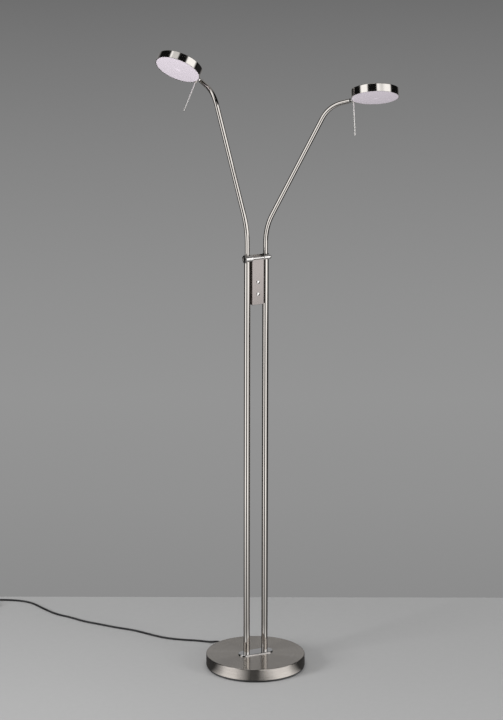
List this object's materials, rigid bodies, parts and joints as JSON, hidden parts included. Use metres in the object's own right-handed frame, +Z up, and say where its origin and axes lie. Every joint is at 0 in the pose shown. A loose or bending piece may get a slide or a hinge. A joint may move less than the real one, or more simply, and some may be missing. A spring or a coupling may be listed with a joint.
{
  "type": "floor lamp",
  "caption": "Floor lamp with a round weighted base, twin poles and two curved swivelling arms, each ending in a flat round LED head on a tilting joint with a handle rod.",
  "frame": {"origin": "middle of the round base's underside, on the floor", "axes": "+Z up; +X from the left pole to the right pole; -Y the side with the two dimmer buttons, the lamp's front"},
  "size_m": [0.8544, 1.0838, 1.5609],
  "materials": {
    "base_metal": "satin nickel plate, spun grain",
    "cast_weight": "rough black casting",
    "tray_plastic": "black moulded plastic, fine texture",
    "felt": "black felt",
    "screw_steel": "zinc-plated steel",
    "driver_case": "white moulded case",
    "foot_plate": "polished plate",
    "pole_metal": "satin nickel plate",
    "insert_brass": "plain turned brass",
    "bush_nylon": "black nylon",
    "arm_metal": "satin nickel plate",
    "joint_metal": "polished nickel",
    "head_metal": "polished nickel rim, satin back",
    "diffuser": "opal acrylic, unlit",
    "reflector": "white moulded plastic",
    "board": "white solder mask",
    "face_metal": "satin nickel plate",
    "housing_black": "black moulded plastic, fine texture",
    "circuit": "green circuit board",
    "button_metal": "polished nickel dome",
    "clamp_metal": "polished nickel",
    "knob_metal": "black nickel",
    "cord_rubber": "black round cord",
    "tie_plastic": "black strap",
    "plug_plastic": "black moulded plug",
    "pin_brass": "plated brass"
  },
  "bodies": {
    "stand": {"base_cover": "base_metal", "base_weight": "cast_weight", "base_tray": "tray_plastic", "base_screws": "screw_steel", "base_felt": "felt", "led_driver": "driver_case", "foot_plate": "foot_plate", "pole_inserts": "insert_brass", "pole_nipples": "insert_brass", "pole_washers": "screw_steel", "pole_nuts": "screw_steel", "dimmer_housing": "housing_black", "dimmer_face": "face_metal", "dimmer_cover": "housing_black", "cover_screws": "screw_steel", "dimmer_circuit": "circuit", "clamp_bar": "clamp_metal", "clamp_strap": "clamp_metal", "clamp_screws": "screw_steel", "strain_relief": "plug_plastic", "cord_lead": "cord_rubber", "cord_coil": "cord_rubber", "coil_tie": "tie_plastic", "plug_body": "plug_plastic", "plug_pins": "pin_brass", "pole_left": "pole_metal", "pole_right": "pole_metal", "arm_bush_left": "bush_nylon", "arm_bush_right": "bush_nylon"},
    "clamp_knob": {"clamp_knob": "knob_metal"},
    "button_upper": {"button_upper": "button_metal"},
    "button_lower": {"button_lower": "button_metal"},
    "arm_left": {"arm_tube_left": "arm_metal", "stop_pin_left": "screw_steel"},
    "fork_left": {"fork_left": "joint_metal", "hinge_pin_left": "screw_steel"},
    "knuckle_left": {"knuckle_left": "joint_metal", "spigot_clip_left": "screw_steel"},
    "head_left": {"head_housing_left": "head_metal", "handle_rod_left": "joint_metal", "diffuser_left": "diffuser", "reflector_left": "reflector", "led_board_left": "board", "board_screws_left": "screw_steel"},
    "arm_right": {"arm_tube_right": "arm_metal", "stop_pin_right": "screw_steel"},
    "fork_right": {"fork_right": "joint_metal", "hinge_pin_right": "screw_steel"},
    "knuckle_right": {"knuckle_right": "joint_metal", "spigot_clip_right": "screw_steel"},
    "head_right": {"head_housing_right": "head_metal", "handle_rod_right": "joint_metal", "diffuser_right": "diffuser", "reflector_right": "reflector", "led_board_right": "board", "board_screws_right": "screw_steel"}
  },
  "joints": [
    {"name": "clamp_knob_turn", "type": "hinge", "parent": "stand", "child": "clamp_knob", "pos_m": [-0.0357, -0.0102, 1.069], "axis": [1, 0, 0], "range_deg": [-360, 0]},
    {"name": "button_upper_press", "type": "slide", "parent": "stand", "child": "button_upper", "axis": [0, 1, 0], "range_m": [0, 0.001], "stiffness_N_per_m": 1500, "springref_m": -0.0005},
    {"name": "button_lower_press", "type": "slide", "parent": "stand", "child": "button_lower", "axis": [0, 1, 0], "range_m": [0, 0.001], "stiffness_N_per_m": 1500, "springref_m": -0.0005},
    {"name": "arm_left_swivel", "type": "hinge", "parent": "stand", "child": "arm_left", "pos_m": [-0.025, 0, 1.04], "axis": [0, 0, 1], "range_deg": [-6, 154]},
    {"name": "fork_left_turn", "type": "hinge", "parent": "arm_left", "child": "fork_left", "pos_m": [-0.04791, 0.21793, 1.47411], "axis": [-0.1, 0.9511, 0.2924], "range_deg": [-90, 90]},
    {"name": "head_left_bend", "type": "hinge", "parent": "fork_left", "child": "knuckle_left", "pos_m": [-0.04791, 0.21793, 1.47411], "axis": [0.5462, -0.1932, 0.8151], "range_deg": [-68, 19]},
    {"name": "head_left_spin", "type": "hinge", "parent": "knuckle_left", "child": "head_left", "pos_m": [-0.04791, 0.21793, 1.47411], "axis": [-0.8184, 0.0846, 0.5685], "range_deg": [-45, 45]},
    {"name": "arm_right_swivel", "type": "hinge", "parent": "stand", "child": "arm_right", "pos_m": [0.025, 0, 1.04], "axis": [0, 0, 1], "range_deg": [-45.5, 114.5]},
    {"name": "fork_right_turn", "type": "hinge", "parent": "arm_right", "child": "fork_right", "pos_m": [0.1813, -0.15359, 1.47411], "axis": [0.6821, -0.6703, 0.2924], "range_deg": [-90, 90]},
    {"name": "head_right_bend", "type": "hinge", "parent": "fork_right", "child": "knuckle_right", "pos_m": [0.1813, -0.15359, 1.47411], "axis": [0.0834, -0.3259, -0.9417], "range_deg": [-15, 72.5]},
    {"name": "head_right_spin", "type": "hinge", "parent": "knuckle_right", "child": "head_right", "pos_m": [0.1813, -0.15359, 1.47411], "axis": [0.4361, -0.8378, 0.3286], "range_deg": [-45, 45]}
  ]
}
